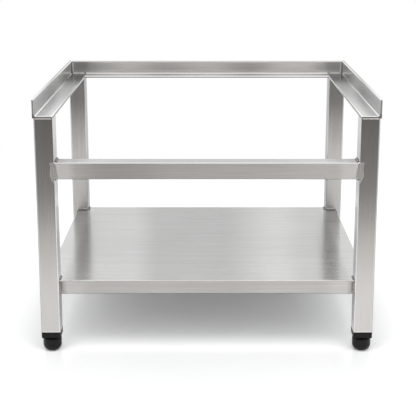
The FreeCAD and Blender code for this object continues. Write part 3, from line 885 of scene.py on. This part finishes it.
def floor_finish():
    """Pale floor that keeps the stand's shadow and goes over into a white backdrop away from it.
    Reflections show the same floor, but in front of the stand they lose it to the darker room."""
    material, tree, output, place = new_material("studio_floor")
    path = put(tree, "LightPath")
    camera_ray = path.outputs["Is Camera Ray"]
    glossy_ray = path.outputs["Is Glossy Ray"]
    spot = part(tree, place, "X")
    depth = part(tree, place, "Y")
    sideways = combine(tree, "ABSOLUTE", spot)
    aside = combine(tree, "MAXIMUM", combine(tree, "SUBTRACT", sideways, room_half), 0.0)
    out_of_room = combine(tree, "ADD", depth, aside)

    flat = put(tree, "Mapping", {"Vector": place, "Scale": floor_round}).outputs["Vector"]
    distance = put(tree, "VectorMath", {0: flat}, operation="LENGTH").outputs["Value"]
    away = ramp(tree, distance, (floor_near, floor_far), 0.0, 1.0)
    behind = ramp(tree, out_of_room, mirror_span, 0.0, 1.0)
    seen = combine(tree, "MAXIMUM", camera_ray, combine(tree, "MULTIPLY", glossy_ray, behind))
    seen = combine(tree, "MAXIMUM", seen, path.outputs["Is Transmission Ray"])
    white = combine(tree, "MULTIPLY", seen, away)

    paper = mix_colours(tree, noise(tree, place, floor_cloud_scale, 2.0), floor_pale, floor_paler)
    gain = ramp(tree, depth, front_span, floor_gain_front, floor_gain)
    gain = ramp(tree, sideways, beside_span, gain, floor_gain_beside)
    gain = ramp(tree, camera_ray, (0.0, 1.0), 1.0, gain)
    gain = ramp(tree, glossy_ray, (0.0, 1.0), gain, mirror_gain)
    shown = scaled(tree, paper, gain)
    room = colour_stops(tree, spread(tree, out_of_room, 0.0, 1.0, (-room_reach, 0.0)), room_floor)
    room = scaled(tree, room, ramp(tree, spot, room_floor_aside, *room_floor_light))
    dimmed = put(tree, "VectorMath", {0: shown, 1: room}, operation="MULTIPLY").outputs["Vector"]
    colour = mix_colours(tree, glossy_ray, shown, dimmed)
    surface = put(tree, "BsdfDiffuse", {"Color": colour}).outputs["BSDF"]

    inputs = {"Color": (1, 1, 1, 1), "Roughness": gloss_roughness}
    gloss = put(tree, "BsdfAnisotropic", inputs).outputs["BSDF"]
    share = ramp(tree, depth, gloss_finish, floor_gloss, 0.0)
    share = combine(tree, "MULTIPLY", share, ramp(tree, depth, gloss_start, 0.0, 1.0))
    share = combine(tree, "MULTIPLY", camera_ray, share)
    surface = put(tree, "MixShader", {0: share, 1: surface, 2: gloss}).outputs["Shader"]
    backdrop = put(tree, "Emission", {"Color": (1, 1, 1, 1), "Strength": 1.0}).outputs["Emission"]
    mixed = put(tree, "MixShader", {0: white, 1: surface, 2: backdrop}).outputs["Shader"]
    tree.links.new(mixed, output.inputs["Surface"])
    return material


def make_floor():
    """Flat floor just under the soles."""
    reach = np.array([-floor_reach, floor_reach])
    x, y = np.meshgrid(reach, reach)
    points = np.stack([x, y, np.full_like(x, -floor_drop)], axis=-1).reshape(-1, 3)
    mesh = bpy.data.meshes.new("floor")
    mesh.from_pydata(points.tolist(), [], [(0, 1, 3, 2)])
    mesh.materials.append(floor_finish())
    floor = bpy.data.objects.new("floor", mesh)
    bpy.context.scene.collection.objects.link(floor)


def make_world():
    """White to the eye, white with a darker room in front and a ceiling light in reflections, and a soft
    fill on everything else."""
    world = bpy.data.worlds.new("studio")
    world.use_nodes = True
    bpy.context.scene.world = world
    tree = world.node_tree
    tree.nodes.clear()
    output = put(tree, "OutputWorld")
    path = put(tree, "LightPath")
    camera_ray = path.outputs["Is Camera Ray"]
    seen = combine(tree, "MAXIMUM", camera_ray, path.outputs["Is Glossy Ray"])
    seen = combine(tree, "MAXIMUM", seen, path.outputs["Is Transmission Ray"])
    direction = put(tree, "TexCoord").outputs["Generated"]
    to_right, to_rear, upwards = [part(tree, direction, axis) for axis in "XYZ"]

    slanted = combine(tree, "MULTIPLY", combine(tree, "ABSOLUTE", to_right), room_slant)
    tent = ramp(tree, combine(tree, "ADD", to_rear, slanted), tent_span, 0.0, 1.0)
    tent = combine(tree, "MAXIMUM", tent, ramp(tree, upwards, ceiling_span, 0.0, ceiling_light))
    tent = combine(tree, "MAXIMUM", tent, camera_ray)
    room = mix_colours(tree, ramp(tree, upwards, room_rise, 0.0, 1.0), room_air, room_upper)
    room = scaled(tree, room, ramp(tree, to_right, room_aside, *room_light))
    air = mix_colours(tree, tent, room, tent_white)
    shown = put(tree, "Background", {"Color": air, "Strength": 1.0}).outputs["Background"]

    strength = ramp(tree, to_rear, fill_span, fill_front, fill_rear)
    fill = put(tree, "Background", {"Color": fill_colour, "Strength": strength}).outputs["Background"]
    mixed = put(tree, "MixShader", {0: seen, 1: fill, 2: shown}).outputs["Shader"]
    tree.links.new(mixed, output.inputs["Surface"])


def make_lamp():
    """Rectangular soft lamp overhead, which looks at the stand and isn't seen in reflections."""
    data = bpy.data.lights.new("overhead", "AREA")
    data.shape = "RECTANGLE"
    data.size = lamp_width
    data.size_y = lamp_depth
    data.energy = lamp_power
    lamp = bpy.data.objects.new("overhead", data)
    lamp.location = lamp_place
    lamp.rotation_euler = (Vector(lamp_target) - Vector(lamp_place)).to_track_quat("-Z", "Y").to_euler()
    lamp.visible_glossy = False
    bpy.context.scene.collection.objects.link(lamp)


def make_camera():
    """Camera before the middle of the stand and above it, tilted down, with a small shift."""
    data = bpy.data.cameras.new("camera")
    data.sensor_width = sensor_width
    data.lens = focal_pixels / frame_pixels * sensor_width
    data.shift_x = (frame_pixels / 2 - centre_pixels) / frame_pixels
    data.shift_y = -shift_down
    camera = bpy.data.objects.new("camera", data)
    camera.location = (0, leg_front_y - camera_distance, camera_height)
    camera.rotation_euler = (math.pi / 2 - camera_tilt, 0, 0)
    bpy.context.scene.collection.objects.link(camera)
    bpy.context.scene.camera = camera


# Finishes, and the nodes of the frame that have them
# The front and rear legs have copies of one steel, which differ in their painted light and shade and a
# little in their streaks
steel_upright = brushed_steel("brushed_stainless_upright", (0, 0, 1), streaks=0.5, painted_light_steps=front_leg_painted_light)
steel_rear_upright = brushed_steel("brushed_stainless_rear_upright", (0, 0, 1), streaks=0.75,
                                   painted_light_steps=rear_leg_painted_light)
steel_cross = brushed_steel("brushed_stainless_cross", (1, 0, 0), 0.26, upright_rough=0.15, under_tone=0.5,
                            painted_light_steps=front_rail_painted_light)
steel_depth = brushed_steel("brushed_stainless_depth", (0, 1, 0), 0.24, 0.3, streaks=0.8, ground=True,
                            painted_light_steps=side_rail_painted_light)
steel_back = brushed_steel("brushed_stainless_back", (1, 0, 0), 0.26, upright_rough=0.16, streaks=0.8,
                           painted_bands=True, painted_light_steps=rear_rail_painted_light)
steel_sheet = brushed_steel("brushed_stainless_sheet", (1, 0, 0), 0.25, 1.0, fold=True, under_tone=0.5,
                            upright_rough=0.09, streaks=0.8, lines=0.008, across=sheet_broad_across,
                            painted_light_steps=shelf_painted_light)
weld_finish = weld_metal("bare_weld_metal")
dressed_finish = brushed_steel("dressed_weld_metal", (0, 0, 1), 0.42, 0.25)
plastic = black_plastic("moulded_black_plastic")
plated = plated_steel("zinc_plated_steel")

for corner in corners:
    set_material(corner + "_leg", steel_upright if "front" in corner else steel_rear_upright)
    set_material(corner + "_insert", plastic)
    set_material(corner + "_foot", plastic)
    set_material(corner + "_nut", plated)
    set_material(corner + "_spindle", plated)
for name in ("left_top_rail", "right_top_rail"):
    set_material(name, steel_depth)
for name in ("front_rail", "shelf_stiffener"):
    set_material(name, steel_cross)
set_material("rear_top_rail", steel_back)
set_material("shelf", steel_sheet)
for name in ("top_corner_welds", "leg_top_welds", "front_rail_welds", "shelf_welds"):
    set_material(name, weld_finish)

# Pieces of the scene's own
mesh_piece("corner_weld_beads", corner_welds(), weld_finish, "frame", ["top_corner_welds"])
mesh_piece("leg_top_weld_beads", leg_top_welds(), weld_finish, "frame", ["leg_top_welds"])
mesh_piece("front_rail_weld_beads", front_rail_welds(), weld_finish, "frame",
           ["front_rail_welds"])
mesh_piece("front_rail_dressed_seams", front_rail_seams(), dressed_finish, "frame")
mesh_piece("shelf_weld_beads", shelf_welds(), weld_finish, "frame", ["shelf_welds"])
mesh_piece("shelf_notch_weld_beads", notch_welds(), weld_finish, "frame")
for corner in corners:
    spindle = corner + "_spindle"
    screw = screw_surface(*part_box(spindle))
    mesh_piece(corner + "_screw", [screw], plated, spindle, [spindle])

make_floor()
make_world()
make_lamp()
make_camera()
bpy.context.scene.view_settings.view_transform = "Standard"
